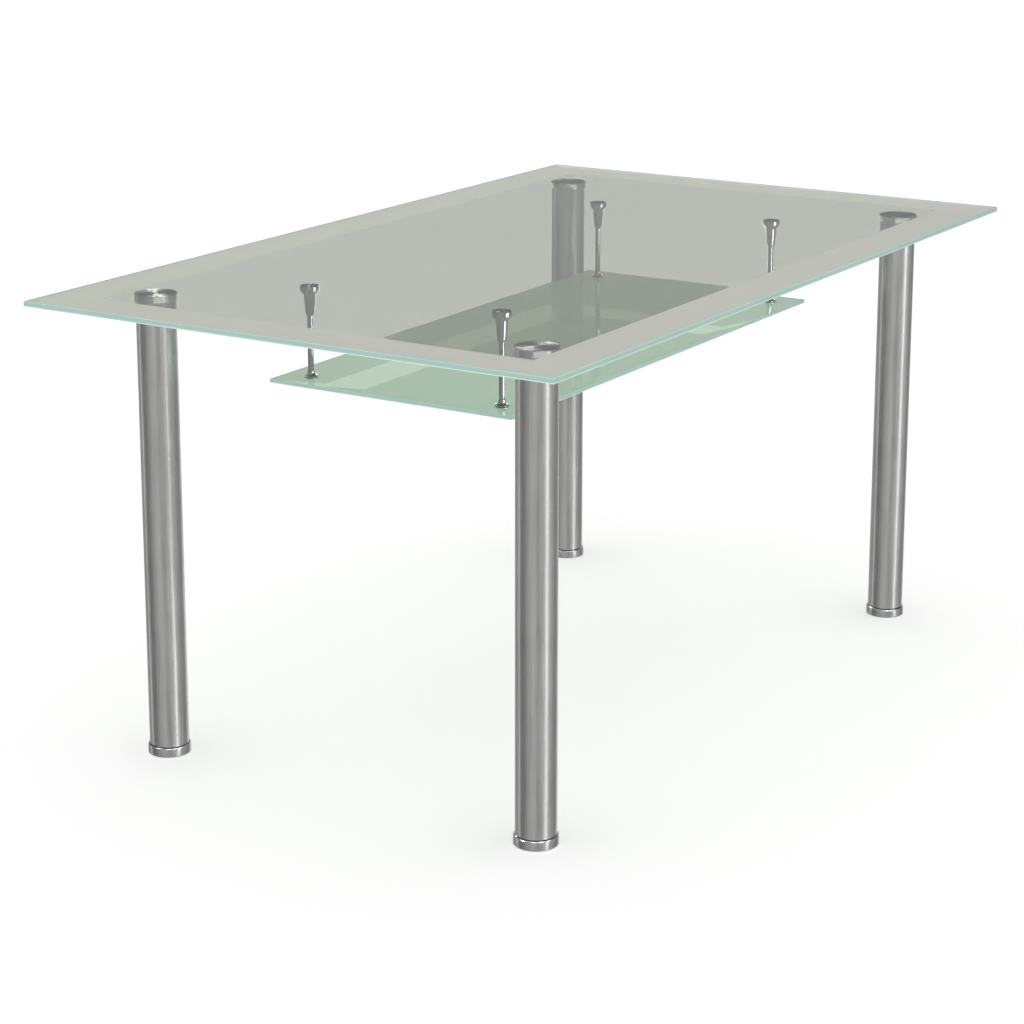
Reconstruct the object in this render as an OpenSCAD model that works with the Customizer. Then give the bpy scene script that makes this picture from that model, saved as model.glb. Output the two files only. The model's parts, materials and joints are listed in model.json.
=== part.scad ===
// Dining table with a frosted-border glass top, four round steel legs and a hung glass shelf.
// Frame: X along the length, Y along the width, Z up. The floor is Z = 0, under the middle of the top.

/* [Tabletop] */
// Length of the glass top
top_length = 1500; // [1200:10:2000]
// Width of the glass top
top_width = 900; // [740:10:1200]
// Thickness of the glass top
top_thickness = 8; // [6:1:12]
// Height of the tabletop surface over the floor
table_height = 720; // [600:5:900]
// Radius of the top's corners, seen from above
top_corner_r = 3; // [1:0.5:20]
// Flat ground along every long edge of both glasses
glass_arris = 0.8; // [0.3:0.1:1.5]

/* [Shelf] */
// Length of the glass shelf
shelf_length = 950; // [600:10:1160]
// Width of the glass shelf
shelf_width = 430; // [300:10:520]
// Thickness of the glass shelf
shelf_thickness = 6; // [5:1:10]
// Clear height between the shelf and the top
shelf_gap = 134; // [110:1:250]
// Radius of the shelf's corners, seen from above
shelf_corner_r = 2; // [1:0.5:20]

/* [Leg places] */
// From the end of the top to the leg's axis
leg_inset_x = 155; // [60:5:200]
// From the long side of the top to the leg's axis
leg_inset_y = 120; // [60:5:150]

/* [Legs] */
// Outer diameter of the leg tube
leg_d = 60; // [46:1:76]
// Wall of the leg tube
leg_wall = 1.5; // [1:0.1:3]
// How far the leg disc stands out past the tube
disc_overhang = 2.5; // [0:0.5:10]
// Thickness of the leg disc
disc_height = 10; // [8:1:20]
// Chamfer round both rims of the leg disc
disc_chamfer = 0.6; // [0.2:0.1:2]
// Length of the steel plug in the upper end of the tube
top_plug_height = 20; // [12:1:60]

/* [Leg screw] */
// Thread diameter of the stud between disc and leg
disc_screw_d = 8; // [6:1:12]
// Depth of the blind thread in the leg disc
disc_thread_depth = 7; // [4:0.5:7.5]
// Length of the stud between disc and leg
disc_screw_length = 32; // [20:1:60]

/* [Bond] */
// Thickness of the clear bond under the top
bond_height = 0.2; // [0.1:0.05:0.5]
// How far the bond film stays inside the rim of what it holds
bond_margin = 1; // [0.5:0.5:4]

/* [Foot] */
// How far the foot cap stands out past the tube
cap_overhang = 2.5; // [1:0.5:10]
// Height of the foot cap
cap_height = 14; // [13:1:30]
// Wall of the foot cap
cap_wall = 1.6; // [1:0.1:3]
// Thickness of the foot cap's upper plate
cap_plate = 2; // [1.5:0.1:4]
// Rounding of the foot cap's upper shoulder
cap_shoulder_r = 3; // [1:0.5:4]
// Rounding of the foot cap's lower lip
cap_lip_r = 0.7; // [0.2:0.1:0.75]
// How far the glide stands out under the foot cap
glide_proud = 1; // [0.5:0.5:4]
// Thickness of the glide's pad
glide_pad = 3; // [2:0.5:4]
// Gap round the glide, inside the foot cap
glide_gap = 1; // [0.5:0.5:5]
// Thread diameter of the levelling screw
foot_screw_d = 10; // [8:1:12]
// Length of the levelling screw's thread, over the foot cap's plate
foot_screw_length = 48; // [40:1:90]
// Diameter of the ball at the levelling screw's lower end
foot_ball_d = 8; // [6:0.5:8]
// Diameter of the neck over the ball
foot_neck_d = 5; // [3:0.5:5]
// Hexagon flange of the levelling screw, across its flats
foot_flange_flats = 17; // [15:1:24]
// Thickness of that flange
foot_flange_height = 2; // [1.5:0.5:3]

/* [Bottom plug] */
// Thickness of the plug's rim, between tube and foot cap
plug_rim = 1; // [0.5:0.5:5]
// How far the rim stays inside the tube's outer face
plug_rim_step = 0.8; // [0.3:0.1:1.2]
// Length of the plug inside the tube
plug_height = 30; // [25:1:80]
// Captive nut, across its flats
nut_flats = 17; // [15:1:22]
// Thickness of the captive nut
nut_height = 8; // [5:0.5:12]

/* [Hangers] */
// From the end of the shelf to the hanger's axis
hanger_inset_x = 45; // [25:1:100]
// From the long side of the shelf to the hanger's axis
hanger_inset_y = 45; // [25:1:100]
// Diameter of the hanger's head
head_d = 29; // [24:1:40]
// Height of the head's straight rim
head_rim = 7; // [3:0.5:15]
// Height of the cone between head and sleeve
head_cone = 6.5; // [3:0.5:15]
// Diameter of the sleeve at its upper end
sleeve_top_d = 18; // [16:0.5:22]
// Diameter of the sleeve at its lower end
sleeve_bottom_d = 13.6; // [13:0.2:15.6]
// Height of the tapered sleeve
sleeve_height = 28.5; // [20:0.5:60]
// Height of the short cone between sleeve and rod
sleeve_end = 3.5; // [1:0.5:10]
// Diameter of the hanger's rod
rod_d = 9; // [8:0.5:11]
// Thread diameter of the rod's ends
rod_thread_d = 6; // [4:0.5:6]
// Length of the rod's upper thread
rod_spigot = 16; // [8:1:25]

/* [Shelf fixing] */
// How far the collar's flare stands out past the rod
collar_flare = 5.8; // [3:0.2:12]
// Height of the collar
collar_height = 8.5; // [5:0.5:20]
// Wall of the collar at its upper end
collar_lip = 0.7; // [0.4:0.1:2]
// Straight rim at the collar's foot
collar_rim = 1.5; // [0.5:0.5:3]
// Diameter of the holes in the shelf
shelf_hole_d = 10; // [9:0.5:14]
// Diameter of the washers
washer_d = 18; // [16:0.5:30]
// Thickness of the soft washers
soft_washer_height = 0.5; // [0.3:0.1:2]
// Thickness of the steel washers
steel_washer_height = 1.2; // [0.8:0.1:3]
// Length of the shelf screw under its head
shelf_screw_length = 20; // [18:1:30]
// Diameter of the shelf screw's head
shelf_screw_head_d = 10.5; // [9:0.5:16]
// Height of the shelf screw's head
shelf_screw_head = 3.3; // [2.5:0.1:6]
// Hexagon socket in the shelf screw's head, across its flats
socket_flats = 4; // [3:0.5:5]
// Depth of that socket
socket_depth = 2; // [1:0.1:2.2]
// Length of the blind threads in the rod and the sleeve past their screws
thread_spare = 2; // [1:0.5:6]

/* [Clearances] */
// Radial clearance of every screw in its thread
thread_clearance = 0.05; // [0.02:0.01:0.1]
// Radial clearance of plugs in the tube
plug_clearance = 0.05; // [0.02:0.01:0.1]
// Clearance of the nut in its pocket, and of the bush in the glass
pocket_clearance = 0.1; // [0.05:0.01:0.2]
// Radial clearance of the ball in the glide
ball_clearance = 0.05; // [0.02:0.01:0.1]
// Radial clearance of screws through washers, bush and plug
pass_clearance = 0.25; // [0.2:0.05:0.5]

/* [Hidden] */
// Corner names, with their side along X and along Y
CORNERS = [
    ["front_left", -1, -1],
    ["front_right", 1, -1],
    ["back_left", -1, 1],
    ["back_right", 1, 1],
];
LEG_PIECES = [
    "leg_disc", "disc_screw", "top_plug", "leg_tube", "bottom_plug",
    "captive_nut", "foot_cap", "levelling_screw", "foot_glide",
];
HANGER_PIECES = ["hanger_head", "hanger_rod", "hanger_collar", "shelf_screw"];

$fn = 96;

// Heights, from the floor up
cap_bottom = glide_proud;
cap_top = cap_bottom + cap_height;
tube_bottom = cap_top + plug_rim;
disc_top = table_height - top_thickness - bond_height;
tube_top = disc_top - disc_height;
top_underside = table_height - top_thickness;
shelf_top = top_underside - shelf_gap;
shelf_bottom = shelf_top - shelf_thickness;

// Legs and feet
disc_d = leg_d + 2 * disc_overhang;
leg_bore_d = leg_d - 2 * leg_wall;
plug_d = leg_bore_d - 2 * plug_clearance;
cap_d = leg_d + 2 * cap_overhang;
cap_bore_d = cap_d - 2 * cap_wall;
glide_d = cap_bore_d - 2 * glide_gap;
flange_bottom = cap_top - cap_plate - foot_flange_height;
glide_floor = 1;
ball_centre = glide_floor + ball_clearance + foot_ball_d / 2;
hub_top = ball_centre + foot_ball_d * 0.3;
hub_wall = 4;
nut_bottom = tube_bottom + (plug_height - nut_height) / 2;

// Hangers, from the top down
head_length = head_rim + head_cone + sleeve_height + sleeve_end;
rod_top = disc_top - head_length;
rod_bottom = shelf_top + soft_washer_height;
steel_washer_bottom = shelf_bottom - soft_washer_height - steel_washer_height;
shelf_thread_depth = steel_washer_bottom + shelf_screw_length + thread_spare - rod_bottom;

// ---------- helpers ----------

// Puts a piece at one leg of the table
module at_leg(corner) {
    translate([corner[1] * (top_length / 2 - leg_inset_x), corner[2] * (top_width / 2 - leg_inset_y), 0])
        children();
}

// Puts a piece at one hanger of the shelf
module at_hanger(corner) {
    translate([corner[1] * (shelf_length / 2 - hanger_inset_x), corner[2] * (shelf_width / 2 - hanger_inset_y), 0])
        children();
}

// Rectangle with round corners, centred
module round_rectangle(length, width, r) {
    square([length - 2 * r, width], center = true);
    square([length, width - 2 * r], center = true);
    for (x = [-1, 1], y = [-1, 1])
        translate([x * (length / 2 - r), y * (width / 2 - r)]) circle(r, $fn = 32);
}

// Section of a glass sheet, with an arris at each of its four edges
module sheet_section(width, height, arris) {
    polygon([
        [-width / 2 + arris, 0],
        [width / 2 - arris, 0],
        [width / 2, arris],
        [width / 2, height - arris],
        [width / 2 - arris, height],
        [-width / 2 + arris, height],
        [-width / 2, height - arris],
        [-width / 2, arris],
    ]);
}

// Glass sheet that stands on Z = 0, with ground edges all round
module glass_sheet(length, width, height, r) {
    intersection() {
        linear_extrude(height) round_rectangle(length, width, r);
        rotate([90, 0, 0])
            linear_extrude(width, center = true) sheet_section(length, height, glass_arris);
        rotate([90, 0, 90])
            linear_extrude(length, center = true) sheet_section(width, height, glass_arris);
    }
}

// Washer, bush or film that stands on Z = 0
module ring(outer_d, inner_d, height) {
    difference() {
        cylinder(d = outer_d, h = height);
        translate([0, 0, -1]) cylinder(d = inner_d, h = height + 2);
    }
}

// Hexagonal prism that stands on Z = 0, sized across its flats
module hexagon(flats, height) {
    cylinder(d = flats / cos(30), h = height, $fn = 6);
}

// ---------- glass ----------

module tabletop_glass() {
    color([0.74, 0.78, 0.72, 0.55])
        translate([0, 0, top_underside]) glass_sheet(top_length, top_width, top_thickness, top_corner_r);
}

module shelf_glass() {
    color([0.70, 0.80, 0.72, 0.55])
        difference() {
            translate([0, 0, shelf_bottom])
                glass_sheet(shelf_length, shelf_width, shelf_thickness, shelf_corner_r);
            for (corner = CORNERS)
                at_hanger(corner) translate([0, 0, shelf_bottom - 1])
                    cylinder(d = shelf_hole_d, h = shelf_thickness + 2);
        }
}

// ---------- bond films ----------

module leg_bonds() {
    color([0.9, 0.92, 0.9, 0.6])
        for (corner = CORNERS)
            at_leg(corner) translate([0, 0, disc_top]) cylinder(d = disc_d - 2 * bond_margin, h = bond_height);
}

module hanger_bonds() {
    color([0.9, 0.92, 0.9, 0.6])
        for (corner = CORNERS)
            at_hanger(corner) translate([0, 0, disc_top]) cylinder(d = head_d - 2 * bond_margin, h = bond_height);
}

// ---------- leg ----------

// Turned disc, with a chamfer round both rims and a blind thread underneath
module leg_disc() {
    color("silver")
        difference() {
            translate([0, 0, tube_top])
                rotate_extrude()
                    polygon([
                        [0, 0],
                        [disc_d / 2 - disc_chamfer, 0],
                        [disc_d / 2, disc_chamfer],
                        [disc_d / 2, disc_height - disc_chamfer],
                        [disc_d / 2 - disc_chamfer, disc_height],
                        [0, disc_height],
                    ]);
            translate([0, 0, tube_top - 1])
                cylinder(d = disc_screw_d + 2 * thread_clearance, h = disc_thread_depth + 1);
        }
}

// Stud that joins the disc to the leg, half a millimetre short of the disc's blind end
module disc_screw() {
    color("gray")
        translate([0, 0, tube_top + disc_thread_depth - 0.5 - disc_screw_length])
            cylinder(d = disc_screw_d, h = disc_screw_length);
}

module top_plug() {
    color("dimgray")
        translate([0, 0, tube_top - top_plug_height])
            ring(plug_d, disc_screw_d + 2 * thread_clearance, top_plug_height);
}

module leg_tube() {
    color([0.66, 0.66, 0.67])
        translate([0, 0, tube_bottom]) ring(leg_d, leg_bore_d, tube_top - tube_bottom);
}

// Plastic plug: a rim under the tube, a body inside it, and a closed pocket that holds the nut
module bottom_plug() {
    color([0.12, 0.12, 0.12])
        difference() {
            union() {
                translate([0, 0, cap_top]) cylinder(d = leg_d - 2 * plug_rim_step, h = plug_rim);
                translate([0, 0, cap_top]) cylinder(d = plug_d, h = plug_rim + plug_height);
            }
            translate([0, 0, cap_top - 1])
                cylinder(d = foot_screw_d + 2 * pass_clearance, h = plug_rim + plug_height + 2);
            translate([0, 0, nut_bottom - pocket_clearance])
                hexagon(nut_flats + 2 * pocket_clearance, nut_height + 2 * pocket_clearance);
        }
}

module captive_nut() {
    color("darkgray")
        translate([0, 0, nut_bottom])
            difference() {
                hexagon(nut_flats, nut_height);
                translate([0, 0, -1]) cylinder(d = foot_screw_d + 2 * thread_clearance, h = nut_height + 2);
            }
}

// ---------- foot ----------

// Chromed cup with a round shoulder and lip, open underneath
module foot_cap() {
    color([0.8, 0.8, 0.82])
        translate([0, 0, cap_bottom])
            rotate_extrude()
                difference() {
                    union() {
                        translate([0, cap_lip_r]) square([cap_d / 2, cap_height - cap_lip_r - cap_shoulder_r]);
                        square([cap_d / 2 - cap_lip_r, cap_height - cap_shoulder_r]);
                        square([cap_d / 2 - cap_shoulder_r, cap_height]);
                        translate([cap_d / 2 - cap_lip_r, cap_lip_r]) circle(cap_lip_r, $fn = 24);
                        translate([cap_d / 2 - cap_shoulder_r, cap_height - cap_shoulder_r])
                            circle(cap_shoulder_r, $fn = 48);
                    }
                    translate([-1, -1]) square([cap_bore_d / 2 + 1, cap_height - cap_plate + 1]);
                    translate([-1, 0]) square([foot_screw_d / 2 + thread_clearance + 1, cap_height + 1]);
                }
}

// Thread over the cap's plate, hexagon flange under it, then a neck and a ball
module levelling_screw() {
    color("darkgray")
        union() {
            translate([0, 0, cap_top - cap_plate]) cylinder(d = foot_screw_d, h = cap_plate + foot_screw_length);
            translate([0, 0, flange_bottom]) hexagon(foot_flange_flats, foot_flange_height);
            translate([0, 0, ball_centre]) cylinder(d = foot_neck_d, h = flange_bottom - ball_centre);
            translate([0, 0, ball_centre]) sphere(d = foot_ball_d);
        }
}

// Plastic pad with a hub that snaps over the ball
module foot_glide() {
    color([0.16, 0.16, 0.16])
        difference() {
            union() {
                cylinder(d = glide_d, h = glide_pad);
                cylinder(d = foot_ball_d + 2 * hub_wall, h = hub_top);
            }
            translate([0, 0, ball_centre]) sphere(d = foot_ball_d + 2 * ball_clearance);
        }
}

// ---------- hanger ----------

// Head, cone and tapered sleeve in one, with a blind thread up from below
module hanger_head() {
    color([0.78, 0.78, 0.8])
        difference() {
            translate([0, 0, rod_top])
                rotate_extrude()
                    polygon([
                        [0, 0],
                        [rod_d / 2 + 0.2, 0],
                        [sleeve_bottom_d / 2, sleeve_end],
                        [sleeve_top_d / 2, sleeve_end + sleeve_height],
                        [head_d / 2, sleeve_end + sleeve_height + head_cone],
                        [head_d / 2, head_length - disc_chamfer],
                        [head_d / 2 - disc_chamfer, head_length],
                        [0, head_length],
                    ]);
            translate([0, 0, rod_top - 1])
                cylinder(d = rod_thread_d + 2 * thread_clearance, h = rod_spigot + thread_spare + 1);
        }
}

// Thin rod with a threaded spigot above and a blind thread below
module hanger_rod() {
    color([0.78, 0.78, 0.8])
        difference() {
            union() {
                translate([0, 0, rod_bottom]) cylinder(d = rod_d, h = rod_top - rod_bottom);
                translate([0, 0, rod_bottom]) cylinder(d = rod_thread_d, h = rod_top - rod_bottom + rod_spigot);
            }
            translate([0, 0, rod_bottom - 1])
                cylinder(d = rod_thread_d + 2 * thread_clearance, h = shelf_thread_depth + 1);
        }
}

// Flared collar: its hollow flank is a quarter of an ellipse
module hanger_collar() {
    top_r = rod_d / 2 + collar_lip;
    foot_r = rod_d / 2 + collar_flare;
    flank = collar_height - collar_rim;
    color([0.8, 0.8, 0.82])
        translate([0, 0, rod_bottom])
            rotate_extrude()
                polygon(concat(
                    [[rod_d / 2 + thread_clearance, collar_height], [rod_d / 2 + thread_clearance, 0]],
                    [[foot_r, 0]],
                    [for (a = [0:10:90]) [
                        foot_r - (foot_r - top_r) * sin(a),
                        collar_height - flank * cos(a),
                    ]]
                ));
}

// Button-head screw, up through the shelf into the rod
module shelf_screw() {
    color("silver")
        translate([0, 0, steel_washer_bottom])
            difference() {
                union() {
                    cylinder(d = rod_thread_d, h = shelf_screw_length);
                    translate([0, 0, -shelf_screw_head])
                        rotate_extrude()
                            polygon([
                                [0, 0],
                                [shelf_screw_head_d / 2 - shelf_screw_head / 2, 0],
                                [shelf_screw_head_d / 2, shelf_screw_head / 2],
                                [shelf_screw_head_d / 2, shelf_screw_head],
                                [0, shelf_screw_head],
                            ]);
                }
                translate([0, 0, -shelf_screw_head - 1]) hexagon(socket_flats, socket_depth + 1);
            }
}

// ---------- washers and bushes ----------

module soft_washers() {
    color([0.92, 0.94, 0.92, 0.7])
        for (corner = CORNERS, z = [shelf_top, shelf_bottom - soft_washer_height])
            at_hanger(corner) translate([0, 0, z])
                ring(washer_d, rod_thread_d + 2 * pass_clearance, soft_washer_height);
}

module shelf_bushes() {
    color([0.92, 0.94, 0.92, 0.7])
        for (corner = CORNERS)
            at_hanger(corner) translate([0, 0, shelf_bottom])
                ring(shelf_hole_d - 2 * pocket_clearance, rod_thread_d + 2 * pass_clearance, shelf_thickness);
}

module steel_washers() {
    color("silver")
        for (corner = CORNERS)
            at_hanger(corner) translate([0, 0, steel_washer_bottom])
                ring(washer_d, rod_thread_d + 2 * pass_clearance, steel_washer_height);
}

// ---------- nodes ----------

tabletop_glass();
shelf_glass();
leg_bonds();
hanger_bonds();
soft_washers();
shelf_bushes();
steel_washers();

for (corner = CORNERS) {
    at_leg(corner) leg_disc();
    at_leg(corner) disc_screw();
    at_leg(corner) top_plug();
    at_leg(corner) leg_tube();
    at_leg(corner) bottom_plug();
    at_leg(corner) captive_nut();
    at_leg(corner) foot_cap();
    at_leg(corner) levelling_screw();
    at_leg(corner) foot_glide();
    at_hanger(corner) hanger_head();
    at_hanger(corner) hanger_rod();
    at_hanger(corner) hanger_collar();
    at_hanger(corner) shelf_screw();
}
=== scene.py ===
# %% [markdown]
# # A glass dining table, piece by piece
# The table is a pane of glass with a frosted border on four round steel legs. Under it a smaller
# pane hangs from four slim hangers. The CAD model gives every place and size, and this lesson
# gives each visible piece its surface: turned, brushed and chromed steel, glass and plastic.

import json
import math

import bpy
import numpy as np
from mathutils import Matrix, Vector

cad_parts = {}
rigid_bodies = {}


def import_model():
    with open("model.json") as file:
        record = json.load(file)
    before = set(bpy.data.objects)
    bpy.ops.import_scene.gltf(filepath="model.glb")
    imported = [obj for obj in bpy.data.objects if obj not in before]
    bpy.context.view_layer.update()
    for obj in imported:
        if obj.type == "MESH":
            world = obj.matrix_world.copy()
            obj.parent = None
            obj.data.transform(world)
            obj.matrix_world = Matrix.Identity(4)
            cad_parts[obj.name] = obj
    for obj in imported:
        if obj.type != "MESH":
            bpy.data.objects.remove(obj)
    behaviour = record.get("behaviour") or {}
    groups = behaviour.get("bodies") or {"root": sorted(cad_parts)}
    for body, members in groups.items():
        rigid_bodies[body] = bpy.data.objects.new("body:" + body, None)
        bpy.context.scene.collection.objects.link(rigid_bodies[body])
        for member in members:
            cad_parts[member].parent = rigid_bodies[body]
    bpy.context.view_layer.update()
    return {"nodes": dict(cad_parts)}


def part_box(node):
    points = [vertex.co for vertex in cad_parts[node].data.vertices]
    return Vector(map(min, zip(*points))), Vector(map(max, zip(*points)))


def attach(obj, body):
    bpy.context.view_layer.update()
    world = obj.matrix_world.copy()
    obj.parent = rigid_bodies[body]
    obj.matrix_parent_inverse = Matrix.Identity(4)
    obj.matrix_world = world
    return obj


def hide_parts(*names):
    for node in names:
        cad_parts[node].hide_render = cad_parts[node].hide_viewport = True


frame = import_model()
MM = 0.001
CORNERS = ("front_left", "front_right", "back_left", "back_right")

# %% [markdown]
# ## The camera
# It stands off one corner, a little over the tabletop, and looks down by thirteen degrees with a
# long lens. A small upward shift of the picture keeps the legs nearly parallel, as a view camera
# does with a raised front.

# %% Camera
CAMERA_PLACE = (-3.5475, -2.1325, 1.5107)
CAMERA_TURN = 1.0129
CAMERA_DOWN = 0.2300
camera = bpy.data.objects.new("camera", bpy.data.cameras.new("camera"))
camera.data.sensor_width = 36.0
camera.data.lens = 92.63
camera.data.shift_y = -0.15
camera.data.clip_end = 200.0
camera.matrix_world = (
    Matrix.Translation(CAMERA_PLACE)
    @ Matrix.Rotation(-CAMERA_TURN, 4, "Z")
    @ Matrix.Rotation(math.pi / 2 - CAMERA_DOWN, 4, "X")
)
bpy.context.scene.collection.objects.link(camera)
bpy.context.scene.camera = camera
bpy.context.scene.view_settings.view_transform = "Standard"
print("camera at", CAMERA_PLACE, "lens", camera.data.lens)

# %% [markdown]
# ## Shader maths as plain sums
# A material is a net of nodes, and a net is hard to read. This small class wraps one socket of a
# net, so that a sum such as `1 - mask` adds its Math node by itself. Any other node comes from
# one method: its settings are made first, then its sockets get values or wires.


# %% Wire
class Wire:
    """One output socket of a node tree, which can stand in a sum."""

    def __init__(self, tree, socket=None):
        self.tree = tree
        self.socket = socket

    def add(self, kind, settings=None, inputs=None, output=0):
        """A node of this kind, with its settings made before its sockets are filled."""
        node = self.tree.nodes.new(kind)
        for key, value in (settings or {}).items():
            if key == "stops":
                fill_ramp(node.color_ramp, value)
            else:
                setattr(node, key, value)
        for key, value in (inputs or {}).items():
            if isinstance(value, Wire):
                self.tree.links.new(value.socket, node.inputs[key])
            else:
                node.inputs[key].default_value = value
        return Wire(self.tree, node.outputs[output] if len(node.outputs) else None)

    def maths(self, operation, first, second=0.0):
        """One Math node."""
        return self.add("ShaderNodeMath", {"operation": operation}, {0: first, 1: second})

    def __add__(self, other):
        return self.maths("ADD", self, other)

    def __radd__(self, other):
        return self.maths("ADD", other, self)

    def __sub__(self, other):
        return self.maths("SUBTRACT", self, other)

    def __rsub__(self, other):
        return self.maths("SUBTRACT", other, self)

    def __mul__(self, other):
        return self.maths("MULTIPLY", self, other)

    def __rmul__(self, other):
        return self.maths("MULTIPLY", other, self)

    def __truediv__(self, other):
        return self.maths("DIVIDE", self, other)

    def __pow__(self, other):
        return self.maths("POWER", self, other)

    def step(self, low, high):
        """Rises smoothly from 0 at low to 1 at high."""
        return self.add(
            "ShaderNodeMapRange",
            {"interpolation_type": "SMOOTHSTEP"},
            {"Value": self, "From Min": low, "From Max": high},
        )


def fill_ramp(ramp, stops):
    """Stops are pairs of place and grey or colour, in rising order."""
    while len(ramp.elements) < len(stops):
        ramp.elements.new(1.0)
    for element, (place, colour) in zip(ramp.elements, stops):
        element.position = place
        element.color = rgba(colour)


def rgba(colour):
    """A grey number or an RGB triple as four numbers."""
    if isinstance(colour, (int, float)):
        colour = (colour, colour, colour)
    return (*colour, 1.0)


def tint(start, factor, first, second):
    """A colour between two colours, by a Mix node."""
    colours = [c if isinstance(c, Wire) else rgba(c) for c in (first, second)]
    return start.add(
        "ShaderNodeMix",
        {"data_type": "RGBA"},
        {0: factor, 6: colours[0], 7: colours[1]},
        output=2,
    )


def material(name):
    """An empty material and the wire that its nodes start from."""
    made = bpy.data.materials.new(name)
    made.use_nodes = True
    made.node_tree.nodes.clear()
    return made, Wire(made.node_tree)


def close(start, shader, made):
    """The shader goes to the material's output."""
    start.add("ShaderNodeOutputMaterial", inputs={"Surface": shader})
    return made


print("wire ready")

# %% [markdown]
# ## Where a pattern sits
# Turned and drawn steel has its grain round or along its own axis. Every lathed piece below keeps
# an attribute, `turned`, with each point's place from that axis, so one material fits all four
# corners and no pattern has a seam. Glass reads plain Object coordinates.


# %% Places and noise
def turned(start):
    """Each point's place from the axis of its own piece, in metres."""
    return start.add("ShaderNodeAttribute", {"attribute_name": "turned"}, output=1)


def placed(start):
    """Object coordinates, which are the room's own metres here."""
    return start.add("ShaderNodeTexCoord", output=3)


def parts_of(start, vector):
    """X, Y and Z of a vector, as three wires."""
    split = start.tree.nodes.new("ShaderNodeSeparateXYZ")
    start.tree.links.new(vector.socket, split.inputs[0])
    return [Wire(start.tree, output) for output in split.outputs]


def stretched(start, vector, scale):
    """The same place, scaled apart along each axis."""
    return start.add(
        "ShaderNodeVectorMath", {"operation": "MULTIPLY"}, {0: vector, 1: scale}
    )


def noise(start, vector, scale, detail=2.0, roughness=0.5):
    """Soft noise between 0 and 1."""
    return start.add(
        "ShaderNodeTexNoise",
        inputs={
            "Vector": vector,
            "Scale": scale,
            "Detail": detail,
            "Roughness": roughness,
        },
    )


def bump(start, height, distance, strength=1.0):
    """A Bump node: height in parts of distance, which is in metres."""
    return start.add(
        "ShaderNodeBump",
        inputs={"Strength": strength, "Distance": distance, "Height": height},
    )


print("patterns ready")

# %% [markdown]
# ## Steel
# All the bright metal is steel, in five finishes. The legs are drawn tube, brushed along their
# length, so their grain is many fine vertical lines; broader streaks down them are partly grain and
# partly painted reflection. Discs are turned, with fine rings. The hangers' sleeves, rods and
# collars are chromed: nearly a mirror, with faint wiping marks. The foot cups have a softer chrome
# with pits, darker and rougher towards the bottom. Screws, studs and nuts are zinc plated.


# %% Metal finishes
def metal(name, build):
    """Steel whose colour, roughness and bump vary by the wires that build returns."""
    made, start = material(name)
    inputs = {"Metallic": 1.0, **build(start)}
    return close(start, start.add("ShaderNodeBsdfPrincipled", inputs=inputs), made)


def brushed(start):
    """Grain along the tube: noise squeezed across the axis and drawn out along it. The broad
    streaks are partly grain and partly painted reflection: dark and bright bands down the tube.
    """
    place = turned(start)
    fine = noise(start, stretched(start, place, (1.0, 1.0, 0.012)), 1400.0, 3.0, 0.6)
    # Partly painted reflection: broad dark and bright streaks down the tube, beside the fine grain.
    broad_grain_and_reflection = noise(start, stretched(start, place, (1.0, 1.0, 0.05)), 160.0, 2.0)
    stain = noise(start, place, 14.0, 4.0, 0.6)
    shade = (fine * 0.5 + broad_grain_and_reflection * 0.3 + stain * 0.2).step(0.3, 0.7)
    return {
        "Base Color": tint(start, shade, (0.47, 0.465, 0.46), (0.70, 0.695, 0.69)),
        "Roughness": 0.22 + fine * 0.12 + stain * 0.06,
        "Normal": bump(start, fine, 0.00003, 0.5),
        "Coat Weight": 0.5,
        "Coat Roughness": 0.07,
    }


def ringed(start):
    """Tool marks round the axis: noise read along the distance from the axis alone."""
    x, y, z = parts_of(start, turned(start))
    radius = (x * x + y * y) ** 0.5
    line = start.add("ShaderNodeCombineXYZ", inputs={0: radius, 1: z})
    marks = noise(start, line, 2600.0, 2.0)
    smear = noise(start, turned(start), 60.0, 3.0)
    return {
        "Base Color": tint(start, marks, (0.44, 0.44, 0.445), (0.68, 0.68, 0.685)),
        "Roughness": 0.07 + marks * 0.07 + smear * 0.04,
        "Normal": bump(start, marks, 0.00002, 0.5),
    }


def wiped(start):
    """Chrome with faint cloudy wiping marks and a little wear."""
    place = turned(start)
    cloud = noise(start, place, 90.0, 4.0, 0.6)
    scratch = noise(start, stretched(start, place, (1.0, 1.0, 12.0)), 500.0, 2.0)
    return {
        "Base Color": tint(start, cloud, (0.33, 0.335, 0.345), (0.46, 0.46, 0.47)),
        "Roughness": 0.04 + cloud * 0.06 + scratch.step(0.62, 0.8) * 0.08,
        "Normal": bump(start, scratch, 0.000006, 0.3),
    }


def satin(start):
    """Chrome over a shot-blasted cup: softer mirror and fine pits; darker and rougher towards the
    bottom.
    """
    place = turned(start)
    _, _, z = parts_of(start, place)
    pits = noise(start, place, 700.0, 3.0, 0.6)
    cloud = noise(start, place, 45.0, 4.0, 0.6)
    # Darker and rougher in the lowest few millimetres of the cup.
    lowest_band = 1.0 - z.step(0.004, 0.012)
    shade = cloud * 0.6 + pits * 0.4 - lowest_band * 0.2
    return {
        "Base Color": tint(start, shade, (0.44, 0.445, 0.45), (0.68, 0.68, 0.685)),
        "Roughness": 0.17 + pits * 0.10 + lowest_band * 0.06,
        "Normal": bump(start, pits, 0.00003, 0.5),
    }


def plated(start):
    """Zinc: cloudy, a little bluish, with small crystals."""
    place = placed(start)
    cell = start.add("ShaderNodeTexVoronoi", inputs={"Vector": place, "Scale": 900.0})
    cloud = noise(start, place, 120.0, 3.0)
    shade = cell * 0.6 + cloud * 0.4
    return {
        "Base Color": tint(start, shade, (0.46, 0.47, 0.49), (0.66, 0.67, 0.68)),
        "Roughness": 0.24 + cloud * 0.16,
        "Normal": bump(start, cell, 0.00001, 0.4),
    }


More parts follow.
